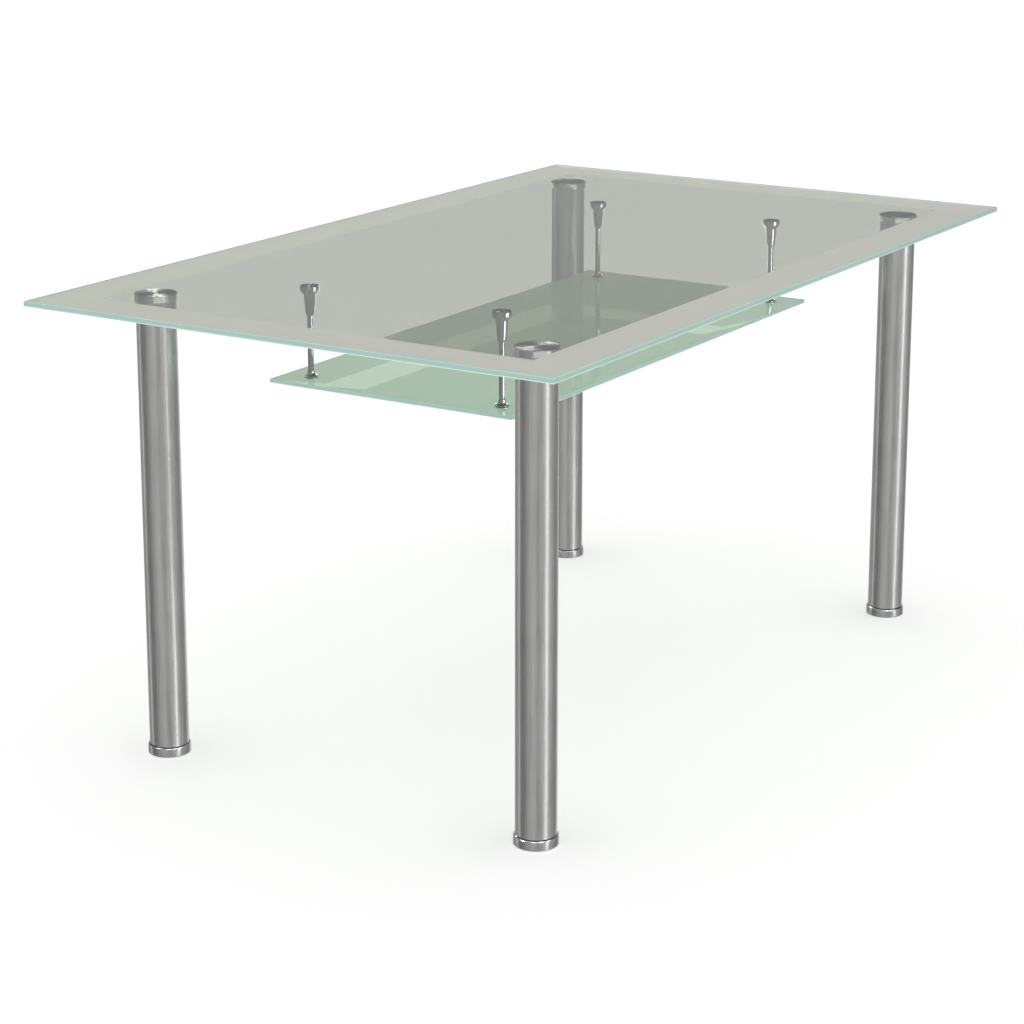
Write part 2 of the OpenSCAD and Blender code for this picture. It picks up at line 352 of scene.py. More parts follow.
brushed_steel = metal("brushed_steel", brushed)
turned_steel = metal("turned_steel", ringed)
chrome = metal("chrome", wiped)
satin_chrome = metal("satin_chrome", satin)
zinc_steel = metal("zinc_steel", plated)
print("metals", [m.name for m in (brushed_steel, turned_steel, chrome, satin_chrome, zinc_steel)])

# %% [markdown]
# ## Plastic
# The plug in the tube and the glide are moulded: a fine even grain, a little gloss on it, and
# slightly paler rubbed places. The soft washers and bushes are clear, slightly milky plastic.


# %% Plastic finishes
def moulded(name, dark, pale, rough):
    """Moulded plastic with a fine grain and rubbed places."""
    made, start = material(name)
    place = placed(start)
    grain = noise(start, place, 2400.0, 2.0)
    rubbed = noise(start, place, 60.0, 4.0, 0.6).step(0.5, 0.75)
    shader = start.add(
        "ShaderNodeBsdfPrincipled",
        inputs={
            "Base Color": tint(start, rubbed * 0.7 + grain * 0.3, dark, pale),
            "Roughness": rough + grain * 0.2 - rubbed * 0.1,
            "Normal": bump(start, grain, 0.00004, 0.5),
            "Specular IOR Level": 0.4,
        },
    )
    return close(start, shader, made)


black_plastic = moulded("black_plastic", (0.012, 0.012, 0.013), (0.04, 0.04, 0.042), 0.4)
glide_plastic = moulded("glide_plastic", (0.02, 0.02, 0.021), (0.07, 0.07, 0.07), 0.45)
milky_plastic = moulded("milky_plastic", (0.62, 0.66, 0.62), (0.78, 0.81, 0.77), 0.3)
print("plastics ready")

# %% [markdown]
# ## Glass
# The panes are real solids of glass that bend light, so a leg seen through one is lifted a
# little, as it is in life. Lamps shine through glass as through a grey-green filter. Glass
# would otherwise throw a black shadow, because a straight shadow ray never finds a bent path.
# The border and the shelf's underside are frosted: matt, finely grained, and nearly opaque.


# %% Glass finishes
def clear_glass(name, colour, through):
    """Glass that bends light, with a filter in its place for rays to lamps and soft light."""
    made, start = material(name)
    place = placed(start)
    cloud = noise(start, place, 3.0, 2.0)
    darker = tuple(c * 0.97 for c in colour)
    glass = start.add(
        "ShaderNodeBsdfPrincipled",
        inputs={
            "Base Color": tint(start, cloud, darker, colour),
            "Roughness": 0.0,
            "IOR": 1.5,
            "Transmission Weight": 1.0,
            "Normal": bump(start, noise(start, place, 5.0, 1.0), 0.0004, 0.25),
        },
    )
    filter_glass = start.add("ShaderNodeBsdfTransparent", inputs={"Color": rgba(through)})
    shadow = start.add("ShaderNodeLightPath", output="Is Shadow Ray")
    soft = start.add("ShaderNodeLightPath", output="Is Diffuse Ray")
    first = start.add("ShaderNodeMixShader", inputs={0: soft, 1: glass, 2: filter_glass})
    both = start.add("ShaderNodeMixShader", inputs={0: shadow, 1: first, 2: filter_glass})
    return close(start, both, made)


STRIP = 0.035
# Where the painted reflection on the frosted border's far sides fades in and out.
FAR_SIDE, FAR_END, NEAR_SIDE = (0.362, 0.374), (0.664, 0.676), (-0.376, -0.364)


def frosted(name, near, far, half, mint):
    """Sandblasted glass: a fine matt grain. Painted reflection: the far sides of the sheet are a
    little greener. Painted light: the outermost strip is mint, as where light comes in by the
    ground edge."""
    made, start = material(name)
    place = placed(start)
    grain = noise(start, place, 420.0, 4.0, 0.75)
    streak = noise(start, stretched(start, place, (1.0, 8.0, 1.0)), 30.0, 5.0, 0.7)
    x, y, _ = parts_of(start, place)
    # Painted reflection: the +Y side and the +X end take the greener far colour.
    far_side_reflection = y.step(*FAR_SIDE) + x.step(*FAR_END) * y.step(*NEAR_SIDE)
    shade = grain * 0.6 + streak * 0.4
    # Painted light: a mint glow along the outermost strip, as where light comes in by the ground
    # edge.
    strip_x = start.maths("ABSOLUTE", x).step(half[0] - STRIP, half[0])
    strip_y = start.maths("ABSOLUTE", y).step(half[1] - STRIP, half[1])
    strip = start.maths("MAXIMUM", strip_x, strip_y) * (0.35 + streak * 0.4)
    base = tint(start, strip, tint(start, far_side_reflection.step(0.0, 1.0), near, far), mint)
    light = start.add(
        "ShaderNodeHueSaturation",
        inputs={"Color": base, "Value": 0.78 + shade * 0.44},
    )
    shader = start.add(
        "ShaderNodeBsdfPrincipled",
        inputs={
            "Base Color": light,
            "Roughness": 0.55 + grain * 0.25,
            "Normal": bump(start, grain, 0.00004, 0.6),
        },
    )
    through = start.add("ShaderNodeBsdfTranslucent", inputs={"Color": rgba(near)})
    both = start.add("ShaderNodeMixShader", inputs={0: 0.45, 1: shader, 2: through})
    return close(start, both, made)


def polished_edge(name, low, high, dark, pale):
    """The ground edge: a deep mint band with long soft streaks; painted highlights make its two
    arrises paler, and it is darker towards the +X end.
    """
    made, start = material(name)
    place = placed(start)
    x, _, z = parts_of(start, place)
    share = (z - low) / (high - low)
    lower = 1.0 - share.step(0.12, 0.30)
    upper = share.step(0.86, 0.97)
    streak = noise(start, stretched(start, place, (1.0, 1.0, 20.0)), 12.0, 4.0, 0.6)
    grind = noise(start, stretched(start, place, (1.0, 1.0, 0.1)), 2200.0, 2.0)
    # Painted highlights: the lower and upper arrises are paler.
    arrises = lower * 0.85 + upper * 0.6
    factor = arrises + (streak - 0.5) * 0.6 - x.step(0.1, 0.75) * 0.3 + 0.1
    shader = start.add(
        "ShaderNodeBsdfPrincipled",
        inputs={
            "Base Color": tint(start, factor.step(0.0, 1.0), dark, pale),
            "Roughness": 0.10 + grind * 0.12,
            "Normal": bump(start, grind, 0.00001, 0.3),
            "IOR": 1.5,
        },
    )
    return close(start, shader, made)


top_glass = clear_glass("top_glass", (0.628, 0.658, 0.585), (0.88, 0.90, 0.86))
shelf_face = clear_glass("shelf_face", (0.74, 0.84, 0.75), (0.88, 0.92, 0.88))
# Each frost's far colour, on the +Y side and the +X end, is a painted reflection.
top_frost = frosted(
    "top_frost", (0.865, 0.84, 0.81), (0.87, 0.92, 0.80), (0.75, 0.45), (0.72, 0.90, 0.82)
)
shelf_frost = frosted(
    "shelf_frost", (0.64, 0.78, 0.68), (0.62, 0.76, 0.65), (0.475, 0.215), (0.60, 0.80, 0.71)
)


def contact(name, clear, dull, most):
    """Glue that wets glass and steel alike, so light passes it unbent, apart from small bubbles."""
    made, start = material(name)
    bubbles = noise(start, placed(start), 700.0, 3.0, 0.6).step(0.62, 0.8)
    film = start.add("ShaderNodeBsdfTransparent", inputs={"Color": rgba(clear)})
    speck_inputs = {"Base Color": rgba(dull), "Roughness": 0.3}
    speck = start.add("ShaderNodeBsdfPrincipled", inputs=speck_inputs)
    both = start.add("ShaderNodeMixShader", inputs={0: bubbles * most, 1: film, 2: speck})
    return close(start, both, made)


clear_bond = contact("clear_bond", (0.97, 0.98, 0.97), (0.7, 0.72, 0.7), 0.10)
bond_contact = contact("bond_contact", (0.99, 0.99, 0.99), (0.7, 0.72, 0.7), 0.05)
print("glass ready")

# %% [markdown]
# ## Surfaces from numbers
# A turned piece is a profile of radius and height, swept round an axis. The points form a grid
# of profile rows and turn columns, worked out as whole arrays. Where a row meets the axis all
# its points fall together, so points in one place are welded and the pole closes by itself.


# %% Mesh helpers
WELD = 2e-7
APART = 2.3


def grid_faces(rows, columns, wrap_rows, wrap_columns):
    """Quads (i, j), (i, j + 1), (i + 1, j + 1), (i + 1, j) of a grid, as one array."""
    i = np.arange(rows if wrap_rows else rows - 1)[:, None]
    j = np.arange(columns if wrap_columns else columns - 1)[None, :]
    down, across = (i + 1) % rows, (j + 1) % columns
    quads = (i * columns + j, i * columns + across, down * columns + across, down * columns + j)
    return np.stack(quads, axis=-1).reshape(-1, 4)


def rounded(corners, cut, steps=5):
    """Each corner B gives way to the curve (1-t)^2 A + 2t(1-t) B + t^2 C, where A and C lie the
    cut length before and after it. A cut of 0 keeps the corner."""
    b = np.asarray(corners, float)
    cut = np.broadcast_to(np.asarray(cut, float), len(b))[:, None]
    before, after = np.roll(b, 1, axis=0) - b, np.roll(b, -1, axis=0) - b
    a = b + cut * before / np.maximum(np.linalg.norm(before, axis=1, keepdims=True), 1e-9)
    c = b + cut * after / np.maximum(np.linalg.norm(after, axis=1, keepdims=True), 1e-9)
    t = np.linspace(0.0, 1.0, steps)[None, :, None]
    a, b, c = a[:, None], b[:, None], c[:, None]
    return ((1 - t) ** 2 * a + 2 * t * (1 - t) * b + t**2 * c).reshape(-1, 2)


def lathe(profile, closed=False, segments=96):
    """x = r cos a, y = r sin a, z = h, for rows (r, h) in mm and turns a. The profile runs against
    the clock in the (r, h) plane, so that the faces point outwards."""
    r, h = np.asarray(profile, float).T * MM
    a = np.arange(segments) * (2 * np.pi / segments)
    x, y = np.outer(r, np.cos(a)), np.outer(r, np.sin(a))
    z = np.broadcast_to(h[:, None], x.shape)
    points = np.stack([x, y, z], axis=-1).reshape(-1, 3)
    return points, grid_faces(len(r), segments, closed, True)


def welded(points, quads):
    """Points in one place become one. A quad that loses one corner is a triangle, and one that
    loses more is dropped."""
    key = np.round(points / WELD).astype(np.int64)
    _, first, back = np.unique(key, axis=0, return_index=True, return_inverse=True)
    back = back.reshape(-1)
    quads = back[quads]
    repeats = quads == np.roll(quads, -1, axis=1)
    count = repeats.sum(axis=1)
    crossed = (quads[:, 0] == quads[:, 2]) | (quads[:, 1] == quads[:, 3])
    fours = quads[(count == 0) & ~crossed]
    one = (count == 1) & ~crossed
    threes = quads[one][~repeats[one]].reshape(-1, 3)
    return points[first], fours, threes, back, (count == 0) & ~crossed, one


def piece(name, parts, body, replaced, materials, places=((0.0, 0.0),), sharp=40.0):
    """One object from parts of (points, quads, extra faces, material numbers), copied to each
    place, smooth apart from edges sharper than the angle. It rides on its body. Copies read
    their pattern at heights that are APART, so that no two look the same."""
    verts, faces, numbers, local, start = [], [], [], [], 0
    for number, (px, py) in enumerate(places):
        for points, quads, *rest in parts:
            polygons = rest[0] if rest else []
            slots = rest[1] if len(rest) > 1 else np.zeros(len(quads), int)
            poly_slots = rest[2] if len(rest) > 2 else [0] * len(polygons)
            kept, fours, threes, back, four, one = welded(points, quads)
            verts.append(kept + np.array([px, py, 0.0]))
            local.append(kept + np.array([0.0, 0.0, APART * number]))
            faces += (fours + start).tolist() + (threes + start).tolist()
            faces += [(back[np.asarray(p)] + start).tolist() for p in polygons]
            numbers += slots[four].tolist() + slots[one].tolist() + list(poly_slots)
            start += len(kept)
    mesh = bpy.data.meshes.new(name)
    mesh.from_pydata(np.concatenate(verts).tolist(), [], faces)
    mesh.polygons.foreach_set("material_index", np.array(numbers, np.int32))
    attribute = mesh.attributes.new("turned", "FLOAT_VECTOR", "POINT")
    attribute.data.foreach_set("vector", np.concatenate(local).astype(np.float32).ravel())
    for item in materials:
        mesh.materials.append(item)
    mesh.shade_smooth()
    mesh.set_sharp_from_angle(angle=math.radians(sharp))
    mesh.update()
    made = bpy.data.objects.new(name, mesh)
    bpy.context.scene.collection.objects.link(made)
    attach(made, body)
    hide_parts(*replaced)
    return made


def node_spot(node):
    """The middle of a round CAD node seen from above, then its lowest point, highest point and
    radius in mm."""
    low, high = (np.array(corner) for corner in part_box(node))
    middle = (low + high) / 2
    return (middle[0], middle[1]), low[2] / MM, high[2] / MM, (high[0] - middle[0]) / MM


print("helpers ready")

# %% [markdown]
# ## The glass top
# One sheet of float glass. Its edge is ground flat with a small arris above and below, and then
# polished. A matt border runs round it on the underside. The sheet is an edge profile carried
# round a rectangle with round corners; the loops drawn inwards end at the border's inner line.


# %% Sheets of glass
CLEAR, FROST, EDGE, CONTACT = 0, 1, 2, 3
ARRIS = 0.8
STEPS = 64
HAIR = 1e-7


def rim(length, width, radius, inset, along=(), across=()):
    """A rectangle with round corners drawn inwards by inset, against the clock: each corner's
    centre plus r (cos a, sin a), with extra stations on the straight sides."""
    r = max(radius - inset, 0.0)
    half_x, half_y = length / 2 - inset, width / 2 - inset
    quarter = np.linspace(0.0, np.pi / 2, 7)
    along, across = np.asarray(along, float), np.asarray(across, float)
    runs = []
    for k, (sx, sy) in enumerate(((1, 1), (-1, 1), (-1, -1), (1, -1))):
        a = quarter + k * np.pi / 2
        centre = (sx * (half_x - r), sy * (half_y - r))
        runs.append(np.column_stack([centre[0] + r * np.cos(a), centre[1] + r * np.sin(a)]))
        if k % 2 == 0:
            stations = along[::-sy]
            runs.append(np.column_stack([stations, np.full(len(stations), sy * half_y)]))
        else:
            stations = across[::sx]
            runs.append(np.column_stack([np.full(len(stations), sx * half_x), stations]))
    return np.concatenate(runs)


def sheet_rim(length, width, radius, arris, low, high, inner, along=(), across=()):
    """Loops from the underside's inner line, round the ground edge, to the top's inner line."""
    section = rounded(
        [
            (inner, low),
            (arris, low),
            (0.0, low + arris),
            (0.0, high - arris),
            (arris, high),
            (inner, high),
        ],
        [0.0, 0.25, 0.25, 0.25, 0.25, 0.0],
    )
    flat = np.stack([rim(length, width, radius, inset, along, across) for inset, _ in section])
    level = np.broadcast_to(section[:, 1][:, None, None], (*flat.shape[:2], 1))
    points = np.concatenate([flat, level], axis=-1).reshape(-1, 3) * MM
    quads = grid_faces(len(section), flat.shape[1], False, True)
    heights = points[quads][:, :, 2]
    under = (heights < low * MM + HAIR).all(axis=1)
    over = (heights > high * MM - HAIR).all(axis=1)
    return points, quads, under, over


def cell_face(xs, ys, circles, height, upward, filled):
    """A flat grid of cells between lines xs and ys. A cell that holds a circle (x, y, r) turns
    into four faces, each from two corners of its square to a quarter of the circle. The circles
    may be filled."""
    grid = np.stack(np.meshgrid(xs, ys, indexing="ij"), axis=-1).reshape(-1, 2)
    quads = grid_faces(len(xs), len(ys), False, False)[:, ::-1]
    a = np.arange(STEPS) * (2 * np.pi / STEPS)
    kept = np.ones(len(quads), bool)
    points, polygons, patches, start = [grid], [], [], len(grid)
    for x, y, r in circles:
        cell = (np.searchsorted(xs, x) - 1) * (len(ys) - 1) + np.searchsorted(ys, y) - 1
        kept[cell] = False
        bearing = np.arctan2(grid[quads[cell], 1] - y, grid[quads[cell], 0] - x)
        corner = quads[cell][np.argsort(bearing % (2 * np.pi))]
        points.append(np.column_stack([x + r * np.cos(a), y + r * np.sin(a)]))
        for k in range(4):
            arc = start + (np.arange(STEPS // 4 + 1) + STEPS // 8 + STEPS // 4 * k) % STEPS
            polygons.append([corner[k], corner[(k + 1) % 4], *arc[::-1]])
        if filled:
            patches.append(list(range(start, start + STEPS)))
        start += STEPS
    flat = np.concatenate(points)
    turn = 1 if upward else -1
    return (
        np.column_stack([flat, np.full(len(flat), height)]) * MM,
        quads[kept][:, ::turn],
        [p[::turn] for p in polygons],
        [p[::turn] for p in patches],
    )


def cell_lines(circles, half, k):
    """Lines along one axis, a half cell before and after each circle, on both sides of 0."""
    spots = np.abs(np.array(circles)[:, k])
    half = np.array(half, float)
    beside = np.concatenate([spots - half, spots + half])
    return np.unique(np.round(np.concatenate([-beside, beside]), 6))


def glass_sheet(size, radius, low, high, inner, circles, half, drilled):
    """The rim's loops and two faces of cells, joined into one skin with its material numbers.
    Drilled circles get a wall through the sheet, and others are patches of the underside."""
    lines = [cell_lines(circles, half, k) for k in (0, 1)]
    xs, ys = (
        np.concatenate([[inner - size[k] / 2], lines[k], [size[k] / 2 - inner]]) for k in (0, 1)
    )
    points, quads, under, over = sheet_rim(*size, radius, ARRIS, low, high, inner, *lines)
    sheet = [(points, quads, [], np.where(under, FROST, np.where(over, CLEAR, EDGE)), [])]
    for height, upward in ((high, True), (low, False)):
        holes = circles if drilled or not upward else []
        number = FROST if drilled and not upward else CLEAR
        p, q, g, patches = cell_face(xs, ys, holes, height, upward, not drilled)
        numbers = [number] * len(g) + [CONTACT] * len(patches)
        sheet.append((p, q, g + patches, np.full(len(q), number), numbers))
    if drilled:
        for x, y, r in circles:
            p, q = lathe([(r, high), (r, low)], segments=STEPS)
            sheet.append((p + np.array([x, y, 0]) * MM, q, [], np.full(len(q), EDGE), []))
    return whole_sheet(sheet)


def whole_sheet(parts):
    """Parts of (points, quads, polygons, quad slots, polygon slots), joined before the weld."""
    points, quads, polygons, slots, poly_slots, start = [], [], [], [], [], 0
    for p, q, g, s, gs in parts:
        points.append(p)
        quads.append(q + start)
        polygons += [(np.asarray(face) + start).tolist() for face in g]
        slots.append(s)
        poly_slots += gs
        start += len(p)
    joined = [np.concatenate(arrays) for arrays in (points, quads, slots)]
    return joined[0], joined[1], polygons, joined[2], poly_slots


BORDER = 80.0
leg_spot = {c: node_spot(f"leg_tube_{c}")[0] for c in CORNERS}
hanger_spot = {c: node_spot(f"hanger_rod_{c}")[0] for c in CORNERS}


def bond_radius(node, spots):
    """From the furthest axis to the node's own edge, in mm."""
    return (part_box(node)[1][0] - max(x for x, _ in spots.values())) / MM


def sheet_box(node):
    """A sheet's length and width, its underside and its upper face, in mm."""
    low, high = (np.array(corner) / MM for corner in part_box(node))
    return (high - low)[:2], low[2], high[2]


bonds = {"leg_bonds": leg_spot, "hanger_bonds": hanger_spot}
top_circles = [
    (x / MM, y / MM, bond_radius(node, spots))
    for node, spots in bonds.items()
    for x, y in spots.values()
]
LEG_CELL, HANGER_CELL = 35.0, 16.0
TOP_CORNER = 3.0
top_size, TOP_LOW, TOP_HIGH = sheet_box("tabletop_glass")
top_cells = [LEG_CELL] * 4 + [HANGER_CELL] * 4
top_edge = polished_edge(
    "top_edge", TOP_LOW * MM, TOP_HIGH * MM, (0.40, 0.58, 0.51), (0.66, 0.90, 0.81)
)
top_sheet = glass_sheet(
    top_size, TOP_CORNER, TOP_LOW, TOP_HIGH, BORDER, top_circles, top_cells, drilled=False
)
piece(
    "tabletop_sheet",
    [top_sheet],
    "table",
    ["tabletop_glass"],
    [top_glass, top_frost, top_edge, bond_contact],
    sharp=25.0,
)
print("top", top_size.round(1), "border", BORDER)

# %% [markdown]
# ## The glass shelf
# A thinner sheet with four drilled holes. Its underside is satin, so that what stands behind it
# doesn't show, while its upper face still mirrors the rods. Round each hole four faces run from
# a small square to the circle, which keeps the sheet one closed skin.

# %% Shelf
shelf_size, SHELF_LOW, SHELF_HIGH = sheet_box("shelf_glass")
HOLE_R, HOLE_CELL = 5.0, 12.0
SHELF_INNER, SHELF_CORNER = 20.0, 2.0
holes = [(x / MM, y / MM, HOLE_R) for x, y in hanger_spot.values()]
shelf_edge = polished_edge(
    "shelf_edge", SHELF_LOW * MM, SHELF_HIGH * MM, (0.42, 0.62, 0.54), (0.66, 0.90, 0.81)
)
hole_cells = [HOLE_CELL] * 4
shelf_sheet = glass_sheet(
    shelf_size, SHELF_CORNER, SHELF_LOW, SHELF_HIGH, SHELF_INNER, holes, hole_cells, drilled=True
)
piece(
    "shelf_sheet",
    [shelf_sheet],
    "table",
    ["shelf_glass"],
    [shelf_face, shelf_frost, shelf_edge],
    sharp=25.0,
)
print("shelf", shelf_size.round(1), "holes", len(holes))

# %% [markdown]
# ## The bond films
# Clear glue cures under lamps into a film a fifth of a millimetre thick. It joins steel to glass
# over the whole face. Two faces in one place would flicker, so the film ends a hair short of both.

# %% Bonds
GAP = 0.03
for node, spots in bonds.items():
    low, high = (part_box(node)[k] for k in (0, 1))
    bond_r = bond_radius(node, spots)
    z0, z1 = low[2] / MM + GAP, high[2] / MM - GAP
    film = rounded([(0, z0), (bond_r, z0), (bond_r, z1), (0, z1)], [0, 0.04, 0.04, 0], 3)
    piece(
        node.replace("bonds", "bond_films"),
        [lathe(film)],
        "table",
        [node],
        [clear_bond],
        places=list(spots.values()),
    )
    print(node, "radius", round(bond_r, 2))

# %% [markdown]
# ## Leg discs and tubes
# Each disc is turned from bar: the tool leaves fine rings on the upper face, and those rings draw
# every lamp out into a bright bow across the disc. The rings here are real ripples in the mesh.
# The tube is cut square, with a small break on its edges.

# %% Discs and tubes
RIPPLE = 0.8
RIPPLE_DEPTH = 0.07
TUBE_WALL = 1.5


def rippled_face(radius, height, pitch=RIPPLE, depth=RIPPLE_DEPTH):
    """From the rim inwards, height less depth times (1 - cos(2 pi r / pitch)) / 2."""
    r = np.linspace(radius, 0.0, int(radius / pitch * 8) + 1)
    return np.column_stack([r, height - depth * (0.5 - 0.5 * np.cos(2 * np.pi * r / pitch))])


for c in CORNERS:
    spot, low, high, radius = node_spot(f"leg_disc_{c}")
    bore, depth, chamfer = 4.05, 7.0, 0.6
    outline = rounded(
        [
            (0, low + depth),
            (bore, low + depth),
            (bore, low),
            (radius - chamfer, low),
            (radius, low + chamfer),
            (radius, high - chamfer),
            (radius - chamfer, high),
        ],
        [0, 0, 0.1, 0.2, 0.2, 0.2, 0],
    )
    face = rippled_face(radius - chamfer, high)
    piece(
        f"turned_disc_{c}",
        [lathe(np.concatenate([outline, face[1:]]))],
        "table",
        [f"leg_disc_{c}"],
        [turned_steel],
        places=[spot],
    )
    spot, low, high, outer = node_spot(f"leg_tube_{c}")
    inner = outer - TUBE_WALL
    wall = rounded([(inner, low), (outer, low), (outer, high), (inner, high)], 0.25, 4)
    piece(
        f"brushed_tube_{c}",
        [lathe(wall, closed=True)],
        "table",
        [f"leg_tube_{c}"],
        [brushed_steel],
        places=[spot],
    )
print("disc radius", radius, "tube radius", outer)

# %% [markdown]
# ## Feet
# Under each tube a chromed cup turns with its levelling screw, one and a half millimetres a turn,
# and a plastic glide stays still on the floor. The screw has a true thread, which shows when the
# foot is let out.


# %% Feet
def thread(radius, low, high, pitch=1.5, depth=0.92, segments=48):
    """r = R - depth |2 frac(z / pitch - a / 2 pi) - 1|, with narrow flats at crest and root. It
    tapers in at both ends, and one more row with r = 0 at each end closes it."""
    steepness, crest = 1.15, 0.05
    z = np.arange(low, high + 1e-6, pitch / 8)
    a = np.arange(segments) * (2 * np.pi / segments)
    phase = (z[:, None] / pitch - a[None, :] / (2 * np.pi)) % 1.0
    ridge = np.clip(np.abs(2 * phase - 1) * steepness - crest, 0.0, 1.0)
    ends = np.minimum(np.minimum(z - low, high - z) / pitch, 1.0)[:, None]
    r = np.minimum(radius - depth * ridge, radius - depth * (1 - ends))
    r = np.concatenate([np.zeros((1, segments)), r, np.zeros((1, segments))])
    z = np.concatenate([z[:1], z, z[-1:]])
    x, y = r * np.cos(a), r * np.sin(a)
    points = np.stack([x, y, np.broadcast_to(z[:, None], x.shape)], axis=-1)
    return points.reshape(-1, 3) * MM, grid_faces(len(z), segments, False, True)


TURNS = np.arange(96) * (2 * np.pi / 96)


def hexagon(flats):
    """Radius = flats / 2 / cos(distance from the nearest flat's middle), at each turn."""
    return flats / 2 / np.cos((TURNS % (np.pi / 3)) - np.pi / 6)


def shaped_rows(rows):
    """x = r cos a, y = r sin a, z = h, for rows (r, h) whose radius may change with the turn."""
    r = np.stack([np.broadcast_to(radius, TURNS.shape) for radius, _ in rows])
    z = np.broadcast_to(np.array([h for _, h in rows])[:, None], r.shape)
    points = np.stack([r * np.cos(TURNS), r * np.sin(TURNS), z], axis=-1)
    return points.reshape(-1, 3) * MM, grid_faces(len(rows), len(TURNS), False, True)


def prism(flats, low, high, cut=0.3):
    """A hexagonal bar on end, with its upper and lower corners taken down by a cone."""
    edge = hexagon(flats)
    broken = np.minimum(edge - cut, flats / 2 + 0.2)
    return shaped_rows(
        [
            (0.0, low),
            (broken, low),
            (edge, low + cut),
            (edge, high - cut),
            (broken, high),
            (0.0, high),
        ]
    )


for c in CORNERS:
    spot, low, high, radius = node_spot(f"foot_cap_{c}")
    wall, plate, hole, lip, shoulder = 1.6, 2.0, 5.05, 0.7, 3.0
    cup = rounded(
        [
            (hole, high - plate),
            (radius - wall, high - plate),
            (radius - wall, low),
            (radius, low),
            (radius, high),
            (hole, high),
        ],
        [0.1, 0.8, 0.3, lip, shoulder, 0.2],
        9,
    )
    piece(
        f"chromed_cap_{c}",
        [lathe(cup, closed=True, segments=128)],
        f"foot_{c}",
        [f"foot_cap_{c}"],
        [satin_chrome],
        places=[spot],
    )
    spot, low, high, _ = node_spot(f"levelling_screw_{c}")
    ball_r, neck, flats, thread_r = 4.0, 2.5, 17.0, 5.0
    ball_z, flange = low + ball_r, high - 52.0
    around = np.radians(np.linspace(-90.0, 51.3, 24))
    ball = np.column_stack([ball_r * np.cos(around), ball_z + ball_r * np.sin(around)])
    stem = np.concatenate([ball, [(neck, flange + 0.1), (0.0, flange + 0.1)]])
    piece(
        f"threaded_foot_{c}",
        [
            lathe(stem, segments=48),
            prism(flats, flange, flange + 2.0),
            thread(thread_r, flange + 1.9, high),
        ],
        f"foot_{c}",
        [f"levelling_screw_{c}"],
        [zinc_steel],
        places=[spot],
    )
    spot, low, high, pad_r = node_spot(f"foot_glide_{c}")
    socket_r, socket_z, pad, hub = 4.05, 5.05, 3.0, 8.0
    mouth = math.degrees(math.asin((high - socket_z) / socket_r))
    down = np.radians(np.linspace(mouth, -90.0, 20))
    socket = np.column_stack([socket_r * np.cos(down), socket_z + socket_r * np.sin(down)])
    pad_line = rounded(
        [
            (0, low),
            (pad_r, low),
            (pad_r, low + pad),
            (hub, low + pad),
            (hub, high),
            tuple(socket[0]),
        ],
        [0, 0.6, 0.4, 0.8, 0.4, 0.0],
    )
    piece(
        f"moulded_glide_{c}",
        [lathe(np.concatenate([pad_line, socket[1:]]))],
        f"glide_{c}",
        [f"foot_glide_{c}"],
        [glide_plastic],
        places=[spot],
    )
print("cap radius", radius, "glide radius", round(pad_r, 2))

# %% [markdown]
# ## Hangers
# A hanger is a turned head with a cone and a tapered sleeve, bonded under the top, a slim rod and
# a collar like the bell of a horn, whose hollow flank is a quarter of an ellipse. A button screw
# comes up from below through washers and a bush.

# %% Hangers
RIM_CUT = 0.15
for c in CORNERS:
    spot, low, high, head_r = node_spot(f"hanger_head_{c}")
    bore, depth = 3.05, 18.0
    head = rounded(
        [
            (0, low + depth),
            (bore, low + depth),
            (bore, low),
            (4.7, low),
            (6.8, low + 3.5),
            (9.0, low + 32.0),
            (head_r, low + 38.5),
            (head_r, high - 0.6),
            (head_r - 0.6, high),
        ],
        [0, 0, 0, 0.15, 0.6, 1.2, 0.5, 0.2, 0],
    )
    piece(
        f"hanger_sleeve_{c}",
        [lathe(np.concatenate([head, rippled_face(head_r - 0.6, high)[1:]]))],
        "table",
        [f"hanger_head_{c}"],
        [chrome],
        places=[spot],
    )
    spot, low, high, _ = node_spot(f"hanger_rod_{c}")
    rod_r, spigot, top, tapped_r, tapped = 4.5, 3.0, high - 16.0, 3.05, 13.8
    rod = rounded(
        [
            (0, low + tapped),
            (tapped_r, low + tapped),
            (tapped_r, low),
            (rod_r, low),
            (rod_r, top),
            (spigot, top),
            (spigot, high),
            (0, high),
        ],
        [0, 0, 0, 0.2, 0.2, 0, 0.4, 0],
    )
    piece(
        f"slim_rod_{c}",
        [lathe(rod, segments=64)],
        "table",
        [f"hanger_rod_{c}"],
        [chrome],
        places=[spot],
    )
    spot, low, high, foot_r = node_spot(f"hanger_collar_{c}")
    top_r, bore_r, straight = 5.2, 4.55, 1.5
    a = np.radians(np.linspace(0.0, 90.0, 24))
    flank = np.column_stack(
        [
            foot_r - (foot_r - top_r) * np.sin(a),
            high - (high - low - straight) * np.cos(a),
        ]
    )
    base = rounded([(bore_r, low), (foot_r, low), tuple(flank[0])], [0.0, 0.35, 0.0], 5)
    rim_line = [(top_r, high - RIM_CUT), (top_r - RIM_CUT, high), (bore_r, high)]
    collar = np.concatenate([base, flank[1:-1], rim_line])
    piece(
        f"bell_collar_{c}",
        [lathe(collar, closed=True, segments=96)],
        "table",
        [f"hanger_collar_{c}"],
        [chrome],
        places=[spot],
    )
print("head radius", head_r, "collar foot", round(foot_r, 2))

# %% [markdown]
# ## Screws and washers under the shelf
# The screw has a domed head with a hexagon socket. Head and socket are one grid: the socket's
# rows follow a hexagon and the outer rows follow circles. The washers have rolled edges.


# %% Screws and washers
BREAK = 0.15
DOME = 1.6
FACE = 2.3
SCREW_HEAD, SCREW_R, SCREW_FLATS, SCREW_SOCKET = 3.3, 3.0, 4.0, 2.0


